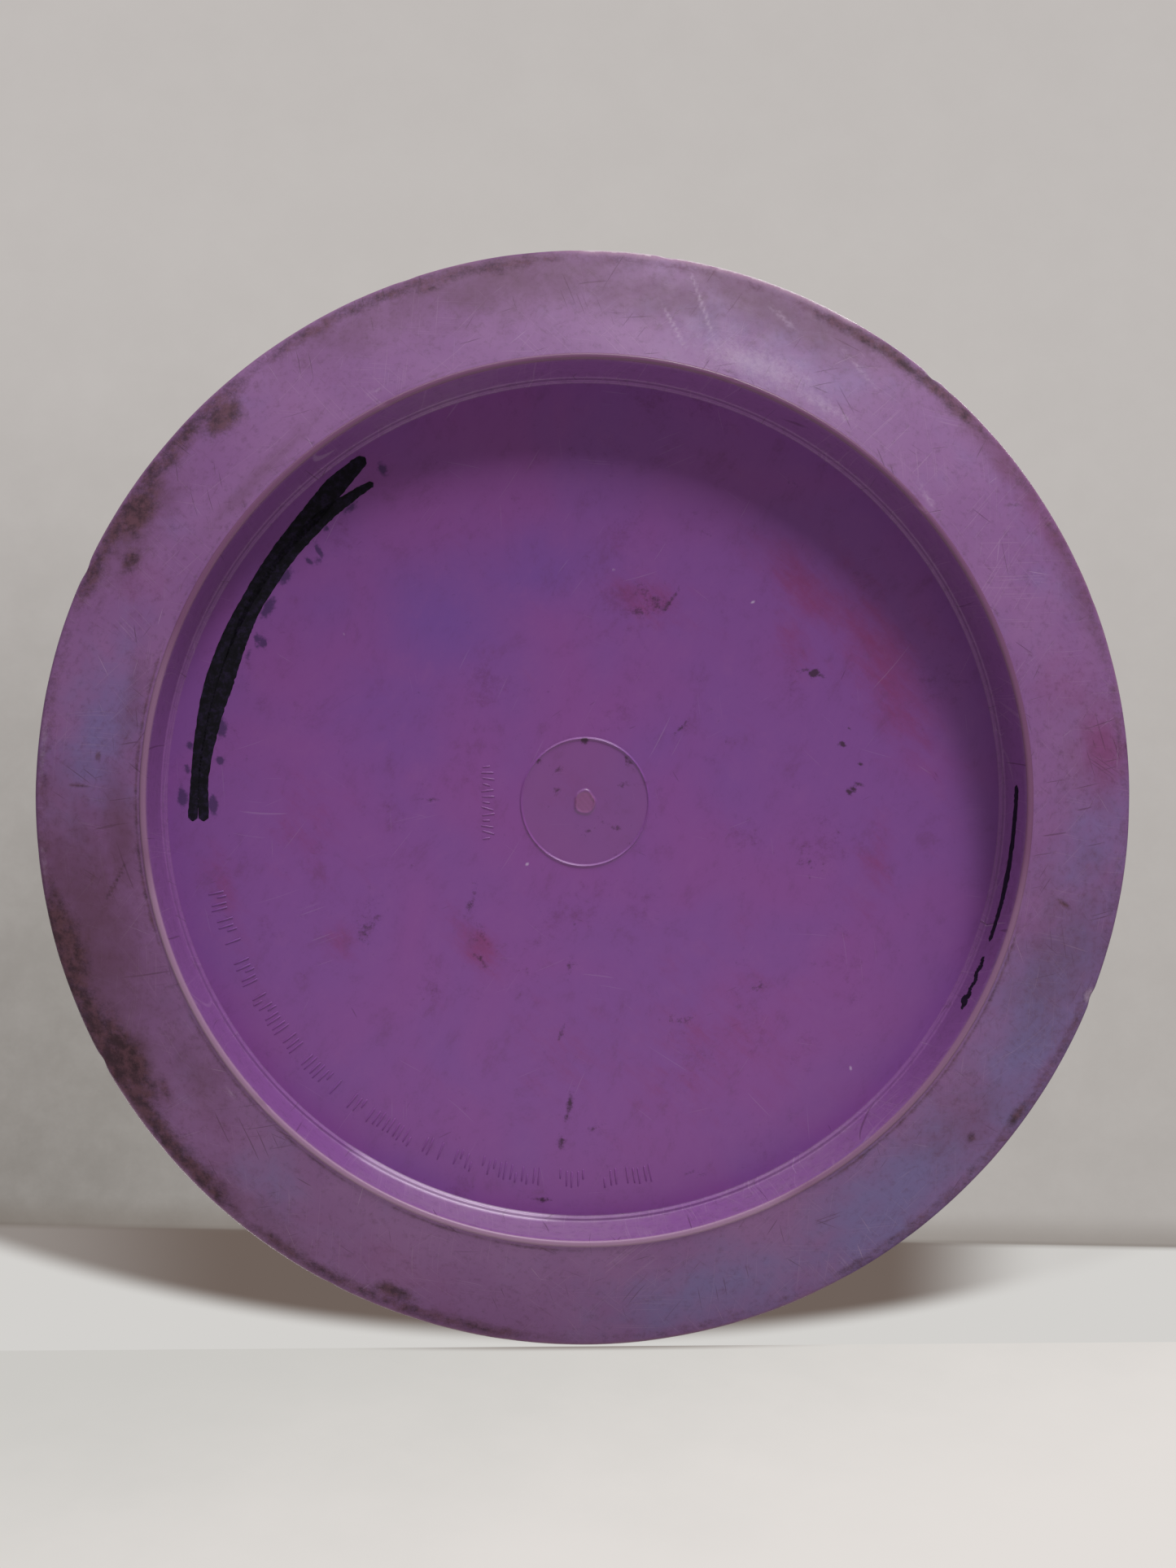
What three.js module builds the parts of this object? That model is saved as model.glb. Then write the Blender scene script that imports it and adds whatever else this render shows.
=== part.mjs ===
// Flying disc: a distance driver for disc golf, lying on its rim with the dome up.
//
// Frame: millimetres, +Z up along the spin axis. The origin is the centre of the
// plane that the rim stands on, so the dome is at +Z and the open cavity faces -Z.
//
// The disc is drawn as two bodies of revolution: the thick wing-shaped rim and the
// thin domed flight plate that closes it. They meet face to face on one cylinder,
// at the step that runs round the cavity where the two halves of the mould part.
import * as THREE from 'three';

// ---------------------------------------------------------------- driving sizes
const DISC_RADIUS = 105.5;      // outer radius at the nose
const CAVITY_RADIUS = 82.45;    // inner wall at its mouth
const RIM_DEPTH = 11.4;         // from the rest plane up to the plate's edge
const DISC_HEIGHT = 14.9;       // from the rest plane to the top of the dome
const SEGMENTS = 80;            // facets around the disc

// Rim
const NOSE_HEIGHT = 8.5;        // height of the outermost point
const NOSE_ROUND = 1.6;         // radius of the leading edge
const LOWER_FACE_START = 15.5;  // slope of the lower face beside the bead, in degrees
const LOWER_FACE_END = 19.5;    // and where it runs into the nose, so it is slightly hollow
const UPPER_FACE_SLOPE = 19;    // slope of the upper face where it leaves the nose
const BEAD_WIDTH = 1.3;         // raised lip round the mouth of the cavity
const BEAD_HEIGHT = 0.45;       // the lip stands this far below the lower face
const BEAD_FLAT = 0.6;          // flat on the lip that the disc rests on
const BEAD_CORNER = 0.1;        // the lip's sides slope in this much on their way down
const BEAD_CORNER_HEIGHT = BEAD_HEIGHT / 4;     // and turn towards the flat at this height
const WALL_DRAFT = 0.15;        // the inner wall leans in this much over its height

// Step between the inner wall and the plate
const STEP_RUN = 1.2;           // from the wall to the plate's edge
const STEP_RISE = 0.5;          // the step stands this far below the plate
const STEP_ROUND = 0.4;         // radius of both of its concave corners

// Flight plate
const PLATE_THICKNESS = 1.9;    // at the centre
const PLATE_EDGE_TOP = 13.4;    // height of the top surface over the joint
const RING_RADIUS = 12.5;       // fine moulded ring round the centre
const RING_WIDTH = 0.5;
const RING_HEIGHT = 0.2;
const GATE_RADIUS = 1.9;        // scar of the moulding gate at the very centre
const GATE_HEIGHT = 0.25;
const GATE_CREST = 0.3;         // half width of the scar's flat top
const GATE_FOOT = 0.7;          // half width of the scar where it leaves the plate

// Facets along the profiles
const LOWER_FACE_STEPS = 4;
const NOSE_STEPS = 8;
const UPPER_FACE_STEPS = 7;
const CORNER_STEPS = 3;
const UNDERSIDE_SHARES = [0.22, 0.34, 0.46, 0.58, 0.7, 0.8, 0.9];       // of the plate's radius
const CROWN_SHARES = [0.85, 0.7, 0.55, 0.4, 0.25, 0.12];

// Looks
const RIM_COLOUR = [0.47, 0.32, 0.52];
const RIM_ROUGHNESS = 0.42;
const PLATE_COLOUR = [0.45, 0.28, 0.54];
const PLATE_ROUGHNESS = 0.3;

const JOINT_RADIUS = CAVITY_RADIUS - WALL_DRAFT - STEP_RUN;
const PLATE_UNDERSIDE_TOP = DISC_HEIGHT - PLATE_THICKNESS;

// ---------------------------------------------------------------- profile tools
// A profile is a list of (radius, height) points, walked anticlockwise.
const at = (radius, height) => new THREE.Vector2(radius, height);
const radians = (degrees) => THREE.MathUtils.degToRad(degrees);

// Points on an arc about (radius, height), from one angle to another, in degrees.
function arc(radius, height, round, from, to, steps) {
  const points = [];
  for (let i = 0; i <= steps; i += 1) {
    const angle = radians(from + ((to - from) * i) / steps);
    points.push(at(radius + round * Math.cos(angle), height + round * Math.sin(angle)));
  }
  return points;
}

// Points strictly inside a smooth curve that leaves `start` and reaches `end`
// with the given tangent directions, in degrees.
function blend(start, end, leaving, arriving, steps) {
  const pull = start.distanceTo(end) / 3;
  const curve = new THREE.CubicBezierCurve(
    start,
    at(start.x + pull * Math.cos(radians(leaving)), start.y + pull * Math.sin(radians(leaving))),
    at(end.x - pull * Math.cos(radians(arriving)), end.y - pull * Math.sin(radians(arriving))),
    end,
  );
  return curve.getPoints(steps).slice(1, -1);
}

// Height of a shallow dome at a radius: `crown` at the axis, `edge` at the joint.
function domeHeight(radius, crown, edge) {
  const share = radius / JOINT_RADIUS;
  return edge + (crown - edge) * (1 - share * share);
}

// A body of revolution about +Z from a closed profile.
function turned(name, profile, material) {
  const geometry = new THREE.LatheGeometry(profile, SEGMENTS);
  geometry.rotateX(Math.PI / 2);
  const mesh = new THREE.Mesh(geometry, material);
  mesh.name = name;
  return mesh;
}

// ---------------------------------------------------------------- rim
function beadProfile() {
  const inner = CAVITY_RADIUS;
  const outer = CAVITY_RADIUS + BEAD_WIDTH;
  const flatStart = inner + (BEAD_WIDTH - BEAD_FLAT) / 2;
  const flatEnd = flatStart + BEAD_FLAT;
  return [
    at(inner, BEAD_HEIGHT),
    at(inner + BEAD_CORNER, BEAD_CORNER_HEIGHT),
    at(flatStart, 0),
    at(flatEnd, 0),
    at(outer - BEAD_CORNER, BEAD_CORNER_HEIGHT),
    at(outer, BEAD_HEIGHT),
  ];
}

function noseProfile() {
  const centre = DISC_RADIUS - NOSE_ROUND;
  const from = LOWER_FACE_END - 90;
  const to = 90 - UPPER_FACE_SLOPE;
  return arc(centre, NOSE_HEIGHT, NOSE_ROUND, from, to, NOSE_STEPS);
}

// From the plate's edge outwards: a concave corner, the ledge, and a second
// concave corner that runs into the inner wall.
function stepProfile() {
  const wall = CAVITY_RADIUS - WALL_DRAFT;
  const ledge = RIM_DEPTH - STEP_RISE;
  return [
    ...arc(JOINT_RADIUS, RIM_DEPTH - STEP_ROUND, STEP_ROUND, 90, 0, CORNER_STEPS),
    at(JOINT_RADIUS + STEP_ROUND, ledge),
    ...arc(wall - STEP_ROUND, ledge - STEP_ROUND, STEP_ROUND, 90, 0, CORNER_STEPS),
  ];
}

function rimProfile() {
  const bead = beadProfile();
  const crease = bead[bead.length - 1];
  const nose = noseProfile();
  const tip = nose[nose.length - 1];
  const edge = at(JOINT_RADIUS, PLATE_EDGE_TOP);
  const profile = [
    ...bead,
    ...blend(crease, nose[0], LOWER_FACE_START, LOWER_FACE_END, LOWER_FACE_STEPS),
    ...nose,
    ...blend(tip, edge, 180 - UPPER_FACE_SLOPE, 180 - domeSlope(), UPPER_FACE_STEPS),
    edge,
    ...stepProfile(),
  ];
  return [...profile, profile[0].clone()];
}

// Slope of the top surface where the plate meets the rim, in degrees.
function domeSlope() {
  const rise = (2 * (DISC_HEIGHT - PLATE_EDGE_TOP)) / JOINT_RADIUS;
  return THREE.MathUtils.radToDeg(Math.atan(rise));
}

// ---------------------------------------------------------------- flight plate
function underside(radius, drop = 0) {
  return at(radius, domeHeight(radius, PLATE_UNDERSIDE_TOP, RIM_DEPTH) - drop);
}

function topside(radius) {
  return at(radius, domeHeight(radius, DISC_HEIGHT, PLATE_EDGE_TOP));
}

function plateProfile() {
  return [
    underside(0),
    underside(GATE_RADIUS - GATE_FOOT),
    underside(GATE_RADIUS - GATE_CREST, GATE_HEIGHT),
    underside(GATE_RADIUS + GATE_CREST, GATE_HEIGHT),
    underside(GATE_RADIUS + GATE_FOOT),
    underside(RING_RADIUS - RING_WIDTH / 2),
    underside(RING_RADIUS, RING_HEIGHT),
    underside(RING_RADIUS + RING_WIDTH / 2),
    ...UNDERSIDE_SHARES.map((share) => underside(share * JOINT_RADIUS)),
    at(JOINT_RADIUS, RIM_DEPTH),
    at(JOINT_RADIUS, PLATE_EDGE_TOP),
    ...CROWN_SHARES.map((share) => topside(share * JOINT_RADIUS)),
    topside(0),
  ];
}

// ---------------------------------------------------------------- the disc
function plastic(colour, roughness) {
  const color = new THREE.Color().setRGB(...colour, THREE.SRGBColorSpace);
  return new THREE.MeshStandardMaterial({ color, roughness, metalness: 0 });
}

const rimPlastic = plastic(RIM_COLOUR, RIM_ROUGHNESS);
const platePlastic = plastic(PLATE_COLOUR, PLATE_ROUGHNESS);

const disc = new THREE.Group();
disc.add(turned('rim', rimProfile(), rimPlastic));
disc.add(turned('flight_plate', plateProfile(), platePlastic));

export default disc;
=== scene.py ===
"""Looks of a used golf disc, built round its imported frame.

Lengths are millimetres unless a name says metres, angles are degrees, and a place on
the disc is given by its angle round +Z and its radius. The frame lies dome up, and
the camera looks at it from below, into the cavity.
"""
import math

import bpy
import numpy as np
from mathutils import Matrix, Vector


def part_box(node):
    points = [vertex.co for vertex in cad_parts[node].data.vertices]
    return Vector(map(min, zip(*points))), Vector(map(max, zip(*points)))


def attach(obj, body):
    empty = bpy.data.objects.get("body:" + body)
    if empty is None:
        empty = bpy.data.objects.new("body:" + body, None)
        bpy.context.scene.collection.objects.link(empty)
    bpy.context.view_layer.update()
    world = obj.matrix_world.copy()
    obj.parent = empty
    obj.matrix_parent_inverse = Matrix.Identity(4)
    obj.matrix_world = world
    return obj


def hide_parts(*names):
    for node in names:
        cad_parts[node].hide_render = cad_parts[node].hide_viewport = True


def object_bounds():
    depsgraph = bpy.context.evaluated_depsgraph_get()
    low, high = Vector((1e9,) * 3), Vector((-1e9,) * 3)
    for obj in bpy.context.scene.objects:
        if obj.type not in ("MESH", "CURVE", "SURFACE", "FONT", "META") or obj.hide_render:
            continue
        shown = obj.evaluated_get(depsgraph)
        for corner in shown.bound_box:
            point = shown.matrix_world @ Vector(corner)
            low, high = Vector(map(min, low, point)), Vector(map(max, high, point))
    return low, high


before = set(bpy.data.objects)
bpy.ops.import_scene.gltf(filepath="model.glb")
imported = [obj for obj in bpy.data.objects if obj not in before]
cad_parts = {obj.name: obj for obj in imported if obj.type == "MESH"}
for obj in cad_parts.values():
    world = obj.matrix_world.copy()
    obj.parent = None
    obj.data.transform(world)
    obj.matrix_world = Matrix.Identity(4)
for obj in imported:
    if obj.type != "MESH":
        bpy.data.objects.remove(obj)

CAD_LOW, CAD_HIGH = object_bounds()
_, RIM_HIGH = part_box("rim")
PLATE_LOW, PLATE_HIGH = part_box("flight_plate")

MM = 0.001
RIM_FACETS = 900
PLATE_FACETS = 640

# Sizes that the frame gives
DISC_RADIUS = CAD_HIGH.x / MM
DISC_HEIGHT = CAD_HIGH.z / MM
JOINT_RADIUS = PLATE_HIGH.x / MM
RIM_DEPTH = PLATE_LOW.z / MM
EDGE_TOP = RIM_HIGH.z / MM

# Rim section
WALL_RADIUS = 82.3      # inner wall, where it meets the step
MOUTH_RADIUS = 82.45    # inner wall, at the lip
BEAD_WIDTH = 1.3
BEAD_HEIGHT = 0.45
NOSE_HEIGHT = 8.5
NOSE_ROUND = 1.6
LOWER_START = 15.5      # slopes of the lower face at the lip and at the nose
LOWER_END = 19.5
UPPER_SLOPE = 19.0      # slope of the upper face at the nose
STEP_ROUND = 0.4
STEP_RISE = 0.5
STEP_EDGE = 0.25        # round of the step's outer corner
LIP_FLAT = 0.11         # half the lip's flat, as a share of its width
CREASE_RADIUS = MOUTH_RADIUS + BEAD_WIDTH + 0.15        # dirt collects just outside the lip

# Flight plate
PLATE_THICKNESS = 1.9
RING_RADIUS = 12.5
RING_HEIGHT = 0.27
RING_SPREAD = 0.19
GATE_LONG = 2.25        # half sizes of the oval scar left by the moulding gate
GATE_SHORT = 1.85
GATE_HEIGHT = 0.32

SHARP_ANGLE = 50        # edges that turn by more than this stay crisp
SOFT_END = 8            # an arc of wear fades over this many degrees at each end


# ---- profiles
def arc(radius, height, size, start, end, steps):
    """Points on an arc about (radius, height)."""
    turn = np.radians(np.linspace(start, end, steps + 1))
    return np.column_stack([radius + size * np.cos(turn), height + size * np.sin(turn)])


def heading(angle):
    return np.array([math.cos(math.radians(angle)), math.sin(math.radians(angle))])


def sweep(start, end, leaving, arriving, steps):
    """Points between start and end on the cubic that leaves and arrives at these angles."""
    start, end = np.array(start, float), np.array(end, float)
    pull = np.linalg.norm(end - start) / 3
    first, second = start + pull * heading(leaving), end - pull * heading(arriving)
    t = np.linspace(0, 1, steps + 1)[1:-1, None]
    s = 1 - t
    return s**3 * start + 3 * s * s * t * first + 3 * s * t * t * second + t**3 * end


def dome(radius, crown, edge):
    """Height of a shallow dome that is `crown` high at the axis and `edge` at the joint."""
    return edge + (crown - edge) * (1 - (np.asarray(radius) / JOINT_RADIUS) ** 2)


def underside(radius):
    return dome(radius, DISC_HEIGHT - PLATE_THICKNESS, RIM_DEPTH)


def topside(radius):
    return dome(radius, DISC_HEIGHT, EDGE_TOP)


def rim_profile():
    """The rim's section, anticlockwise from the mouth of the cavity."""
    mouth, half = MOUTH_RADIUS, BEAD_WIDTH / 2
    flat = BEAD_WIDTH * LIP_FLAT
    bead_in = sweep((mouth, BEAD_HEIGHT), (mouth + half - flat, 0), -88, 0, 6)
    bead_out = sweep((mouth + half + flat, 0), (mouth + 2 * half, BEAD_HEIGHT), 0, 82, 6)
    crease = np.array([[mouth + 2 * half, BEAD_HEIGHT]])
    nose = arc(DISC_RADIUS - NOSE_ROUND, NOSE_HEIGHT, NOSE_ROUND,
               LOWER_END - 90, 90 - UPPER_SLOPE, 14)
    edge = np.array([[JOINT_RADIUS, EDGE_TOP]])
    slope = math.degrees(math.atan(2 * (DISC_HEIGHT - EDGE_TOP) / JOINT_RADIUS))
    ledge = RIM_DEPTH - STEP_RISE
    corner = JOINT_RADIUS + STEP_ROUND + STEP_EDGE
    step = np.concatenate([
        arc(JOINT_RADIUS, RIM_DEPTH - STEP_ROUND, STEP_ROUND, 90, 25, 5),
        arc(corner, ledge + STEP_EDGE, STEP_EDGE, 188, 262, 5),
        arc(WALL_RADIUS - STEP_ROUND, ledge - STEP_ROUND, STEP_ROUND, 88, 0, 7),
    ])
    wall_top = step[-1]
    wall = np.linspace(wall_top, (mouth, BEAD_HEIGHT), 9)[1:]
    return np.concatenate([
        bead_in,
        [[mouth + half - flat, 0], [mouth + half + flat, 0]],
        bead_out,
        crease,
        sweep(crease[0], nose[0], LOWER_START, LOWER_END, 32),
        nose,
        sweep(nose[-1], edge[0], 180 - UPPER_SLOPE, 180 - slope, 20),
        edge,
        step,
        wall,
    ])


def plate_profile():
    """The plate's section, from near the underside's centre out to the joint and back."""
    gate = np.arange(0.15, 3.4, 0.17)
    ring = RING_RADIUS + np.arange(-0.56, 0.57, 0.08)
    between = np.linspace(gate[-1], ring[0], 8)[1:-1]
    beyond = np.linspace(ring[-1], JOINT_RADIUS, 78)[1:]
    below = np.concatenate([gate, between, ring, beyond])
    above = np.linspace(JOINT_RADIUS, 0.5, 20)
    return np.concatenate([
        np.column_stack([below, underside(below)]),
        np.column_stack([above, topside(above)]),
    ])


# ---- meshes
def in_scene(name, data):
    made = bpy.data.objects.new(name, data)
    bpy.context.scene.collection.objects.link(made)
    return made


def mesh_object(name, points, faces):
    mesh = bpy.data.meshes.new(name)
    mesh.from_pydata(points, [], faces)
    mesh.validate()
    mesh.shade_smooth()
    mesh.set_sharp_from_angle(angle=math.radians(SHARP_ANGLE))
    return in_scene(name, mesh)


def revolve(name, profile, facets, shape, on_axis):
    """A closed body of revolution about +Z.

    `shape` moves its points, and `on_axis` closes both ends with a hub.
    """
    turn = np.linspace(0, 2 * np.pi, facets, endpoint=False)
    radius = np.repeat(profile[:, :1], facets, axis=1)
    height = np.repeat(profile[:, 1:], facets, axis=1)
    radius, height = shape(radius, height, np.degrees(turn)[None, :])
    points = np.stack([radius * np.cos(turn), radius * np.sin(turn), height], axis=2)
    points = points.reshape(-1, 3) * MM
    rows = len(profile)
    strips = rows - 1 if on_axis else rows
    column = np.arange(facets)
    after = (column + 1) % facets
    faces = []
    for row in range(strips):
        low, high = row * facets, ((row + 1) % rows) * facets
        quads = np.column_stack([low + column, low + after, high + after, high + column])
        faces += quads.tolist()
    if on_axis:
        hubs = [[0, 0, height[0, 0] * MM], [0, 0, height[-1, 0] * MM]]
        first, last = len(points), len(points) + 1
        top = (rows - 1) * facets
        faces += np.column_stack([np.full(facets, first), after, column]).tolist()
        faces += np.column_stack([top + column, top + after, np.full(facets, last)]).tolist()
        points = np.concatenate([points, hubs])
    return mesh_object(name, points, faces)


def places(piece):
    """Every vertex's x, y and z in millimetres."""
    found = np.empty(len(piece.data.vertices) * 3)
    piece.data.vertices.foreach_get("co", found)
    return found.reshape(-1, 3).T / MM


def paint(piece, name, values):
    """Stores one number per vertex, for the material to read."""
    layer = piece.data.attributes.new(name, "FLOAT", "POINT")
    layer.data.foreach_set("value", np.clip(values, 0, 1).astype(np.float32))


def bell(off, width):
    return np.exp(-(off / width) ** 2)


def spread(x, y, marks):
    """How strongly soft oval marks cover each point.

    A mark is (angle, radius, half length, half width, turn, strength). Its length
    runs round the disc, turned by `turn` degrees.
    """
    cover = np.zeros_like(x)
    for angle, radius, length, width, turn, strength in marks:
        away = np.stack([x, y]) - (radius * heading(angle))[:, None]
        along = heading(angle + 90 + turn)
        across = heading(angle + turn)
        reach = (along @ away / length) ** 2 + (across @ away / width) ** 2
        cover = np.maximum(cover, strength * np.exp(-reach))
    return cover


def around(angle, arcs):
    """Strength and width at each angle, from arcs of (start, end, strength, width)."""
    strength, width = np.zeros(angle.shape), np.full(angle.shape, 0.4)
    for start, end, amount, breadth in arcs:
        middle, half = (start + end) / 2, (end - start) / 2
        off = np.abs((angle - middle + 180) % 360 - 180) - half
        inside = np.clip(0.5 - off / SOFT_END, 0, 1)
        strength = np.maximum(strength, amount * inside)
        width = np.maximum(width, breadth * inside)
    return strength, width


# ---- rim
# Nicks are (angle, height, half length, depth) along the nose.
NICKS = [
    (278.5, 7.6, 1.5, 0.35), (309, 7.9, 1.2, 0.45), (311.5, 8.3, 0.9, 0.25), (21, 7.6, 1.1, 0.4),
    (152, 8, 1.2, 0.3), (205, 8.1, 1.6, 0.3), (118, 8.2, 1, 0.25), (251, 8.6, 1.3, 0.3),
    (338, 8.7, 1, 0.3), (62, 8.9, 1.4, 0.35), (175, 9.2, 1.1, 0.3), (228, 9.4, 1.5, 0.3),
]
LIP_NICKS = [(137.5, 1.6, 0.35), (243.0, 1.0, 0.2), (289.0, 0.9, 0.25), (318.0, 1.2, 0.3)]


def worn_rim(radius, height, angle):
    """Dents in the nose and lip, and a slightly uneven edge."""
    angle = np.broadcast_to(angle, radius.shape)
    for place, level, half, depth in NICKS:
        along = ((angle - place + 180) % 360 - 180) * math.radians(DISC_RADIUS)
        dent = depth * np.exp(-(along / half) ** 2 - ((height - level) / 0.8) ** 2)
        radius = radius - dent * (radius > DISC_RADIUS - 3)
    for place, half, depth in LIP_NICKS:
        along = ((angle - place + 180) % 360 - 180) * math.radians(MOUTH_RADIUS)
        lip = np.exp(-((radius - MOUTH_RADIUS - BEAD_WIDTH / 2) / 0.6) ** 2) * (height < 0.5)
        height = height + depth * lip * np.exp(-(along / half) ** 2)
    turn = np.radians(angle)
    ripple = sum(np.sin(k * turn + 1.7 * k) / k for k in (23, 41, 67, 103))
    edge = bell(radius - DISC_RADIUS, 2.0)
    return radius - 0.6 * edge * (ripple * 0.5 + 0.07), height


# Marks on the rim, as spread() takes them, first on its lower side and then on top.
SOIL_UNDER = [
    (226.7, 100.5, 4.4, 3.4, 0, 1.15), (213, 101.5, 6.6, 3.6, 0, 1.15),
    (219.5, 102.5, 5, 2.4, 0, 0.8), (208, 97.5, 3.6, 2.4, 20, 0.7), (151, 100.5, 11, 4, 0, 1.15),
    (164, 102, 12, 3, 0, 0.85), (146, 97, 4, 1.5, 12, 0.6), (160, 102, 5, 2, 0, 0.6),
    (111.5, 101, 5, 1.8, 0, 0.9), (186, 103, 5, 1.2, 0, 0.4), (170.5, 90, 6, 0.5, 40, 0.75),
    (172, 94, 4, 0.5, 25, 0.5), (164, 99, 6, 1, 30, 0.5), (182, 96, 0.4, 3, 0, 0.7),
    (185.5, 92.5, 1.1, 0.6, 0, 0.9), (12, 93, 2.6, 0.5, -70, 0.8), (41, 98, 1.2, 1.2, 0, 0.8),
    (36, 103, 5, 1.6, 0, 0.8), (100, 97, 6, 1.2, 10, 0.35), (82, 96, 5, 0.8, 0, 0.3),
    (300.5, 103, 5, 1.3, 0, 0.9), (306, 103.2, 5, 1.2, 0, 1), (253, 102, 4, 1.2, 0, 0.6),
    (261, 101.5, 3, 1, 0, 0.5), (296, 104, 26, 0.9, 0, 0.5), (325, 99, 3, 0.4, -60, 0.5),
    (334, 90, 3, 0.4, 70, 0.45),
]
# Pale scuffs under the rim. The thin marks at radius 105 and over, from 278 to 309 degrees, are a
# painted highlight along the nose's edge.
PALE_UNDER_AND_NOSE_HIGHLIGHT = [
    (291, 88, 12, 3.4, 0, 0.8), (300, 86.5, 9, 1.8, 0, 0.6), (283, 96, 9, 0.5, 62, 0.9),
    (280, 91, 6, 0.45, 55, 0.9), (292, 99, 4, 0.8, 25, 0.7), (302, 97, 7, 0.6, 18, 0.6),
    (186, 104, 9, 0.9, 0, 0.5), (174, 104.2, 6, 0.7, 0, 0.5), (21, 104.4, 1.3, 0.9, 0, 1.8),
    (278.5, 105, 3, 0.7, 0, 1), (309, 105, 3, 0.6, 0, 0.9), (141, 86.5, 2, 0.4, 0, 0.6),
    (294, 105.5, 26, 0.5, 0, 0.9), (318, 85.5, 4, 0.8, 10, 0.6), (243, 86.5, 2.6, 0.6, 0, 0.5),
]
BLUE_UNDER = [
    (26, 97, 28, 12, 0, 1), (52, 96, 26, 12, 0, 1), (76, 97, 20, 10, 0, 0.85),
    (4, 97, 14, 10, 0, 0.6), (188, 94, 16, 9, 0, 0.72), (201, 92, 10, 5, 0, 0.5),
    (131, 95, 9, 7, 0, 0.55), (292, 94, 26, 9, 0, 0.45), (330, 96, 18, 8, 0, 0.25),
]
MAGENTA_UNDER = [
    (325, 103, 36, 4, 0, 0.6), (30, 103, 14, 3, 0, 0.4), (168, 95, 24, 12, 0, 0.35),
    (140, 97, 24, 12, 0, 0.35), (354, 99, 9, 6, 0, 1), (346, 94, 10, 8, 0, 0.5),
    (206, 93, 8, 7, 0, 0.4), (112, 96, 26, 9, 0, 0.4), (235, 94, 12, 6, 0, 0.25),
]
GRIME_UNDER = [
    (166, 98, 30, 13, 0, 1), (152, 101, 14, 9, 0, 1), (18, 96, 24, 14, 0, 0.6),
    (40, 94, 16, 12, 0, 0.45), (355, 97, 18, 12, 0, 0.4), (262, 100, 34, 9, 0, 0.85),
    (292, 101, 30, 8, 0, 0.9), (320, 103, 26, 4, 0, 0.6), (335, 103, 22, 4, 0, 0.6),
    (245, 100, 20, 7, 0, 0.6), (212, 100, 18, 7, 0, 0.7), (130, 102, 22, 6, 0, 0.5),
    (146, 90, 14, 7, 0, 0.55), (100, 103, 20, 3, 0, 0.3), (192, 87, 12, 3, 0, 0.6),
    (176, 88, 16, 5, 0, 0.8), (278, 97, 24, 7, 0, 0.75), (224, 86.5, 20, 2, 0, 0.5),
]
NOSE_DIRT_RADIUS = 103.4        # the dirt is thickest here, just inside the nose
# Wear that follows the rim, as around() takes it.
NOSE_GRIME = [
    (95, 130, 0.65, 1.8), (130, 172, 0.9, 3.4), (172, 200, 0.4, 1.4), (200, 232, 0.75, 2.8),
    (232, 268, 0.6, 1.8), (268, 292, 0.4, 1.2), (292, 318, 0.75, 2), (318, 360, 0.4, 1.2),
    (0, 18, 0.35, 1), (18, 64, 0.5, 1.2), (64, 95, 0.35, 0.9),
]
# Pale rub along the nose's lower edge. Its strongest parts, most of all from 266 to 303 degrees,
# carry a painted highlight.
NOSE_PALE_AND_HIGHLIGHT = [
    (60, 152, 0.95, 0.9), (200, 262, 0.6, 0.7), (266, 303, 1, 1.3), (302, 352, 0.75, 0.8),
    (0, 50, 0.5, 0.7),
]
CREASE_GRIME = [
    (160, 202, 0.8, 0.7), (120, 156, 0.7, 0.6), (90, 118, 0.7, 0.5), (14, 60, 0.75, 0.7),
    (202, 260, 0.55, 0.3), (280, 340, 0.5, 0.3),
]
# The arc where the step is glossier and carries a painted highlight.
GLOSSY_HIGHLIT_STEP = [(94, 124, 1.0, 0)]
# Arcs where the lip is paler. This is partly worn plastic and partly a painted highlight on the
# side that faces the light.
PALE_LIT_LIP = [(62, 172, 1.0, 0), (172, 200, 0.5, 0), (10, 62, 0.4, 0)]

WALL_DUST = [
    (250, 82, 22, 9, 0, 0.5), (320, 82, 50, 9, 0, 0.3), (100, 82, 70, 9, 0, 0.7),
    (60, 82, 30, 9, 0, 0.5), (205, 82, 26, 9, 0, 0.25),
]

SOIL_OVER = [
    (40, 99, 9, 2.5, 0, 0.7), (160, 101, 8, 2, 0, 0.8), (250, 98, 7, 2, 10, 0.6),
    (310, 101, 9, 2.2, 0, 0.7), (75, 60, 9, 3, 30, 0.35), (200, 44, 8, 4, -20, 0.3),
]
PALE_OVER = [
    (20, 92, 12, 1.2, 25, 0.7), (120, 88, 14, 1, -20, 0.6), (215, 95, 10, 1.4, 15, 0.7),
    (290, 90, 13, 1, 30, 0.6), (340, 60, 16, 1, 60, 0.5), (95, 40, 18, 0.9, -40, 0.45),
    (230, 55, 14, 1.1, 35, 0.5),
]


def nose_dirt(radius, angle):
    """Dirt ground into the nose's lower side."""
    strength, width = around(angle, NOSE_GRIME)
    inward = np.maximum(NOSE_DIRT_RADIUS - radius, 0)
    outward = np.maximum(radius - NOSE_DIRT_RADIUS, 0)
    return strength * np.exp(-(inward / width) ** 2 - (outward / 3.0) ** 2)


def nose_rub_and_highlight(radius, angle, z):
    """Where the nose's lower side is rubbed pale, with a painted highlight along its edge."""
    pale, breadth = around(angle, NOSE_PALE_AND_HIGHLIGHT)
    pale = pale * bell(radius - DISC_RADIUS, breadth)
    return pale * np.clip((NOSE_HEIGHT - z) / 0.5, 0, 1)


def crease_dirt(radius, angle, z):
    """Dirt in the crease outside the lip."""
    dark, breadth = around(angle, CREASE_GRIME)
    crease = dark * np.exp(-(np.maximum(radius - CREASE_RADIUS, 0) / (0.3 + breadth)) ** 2)
    return crease * (radius > CREASE_RADIUS - 0.1) * (z < 2)


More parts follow.
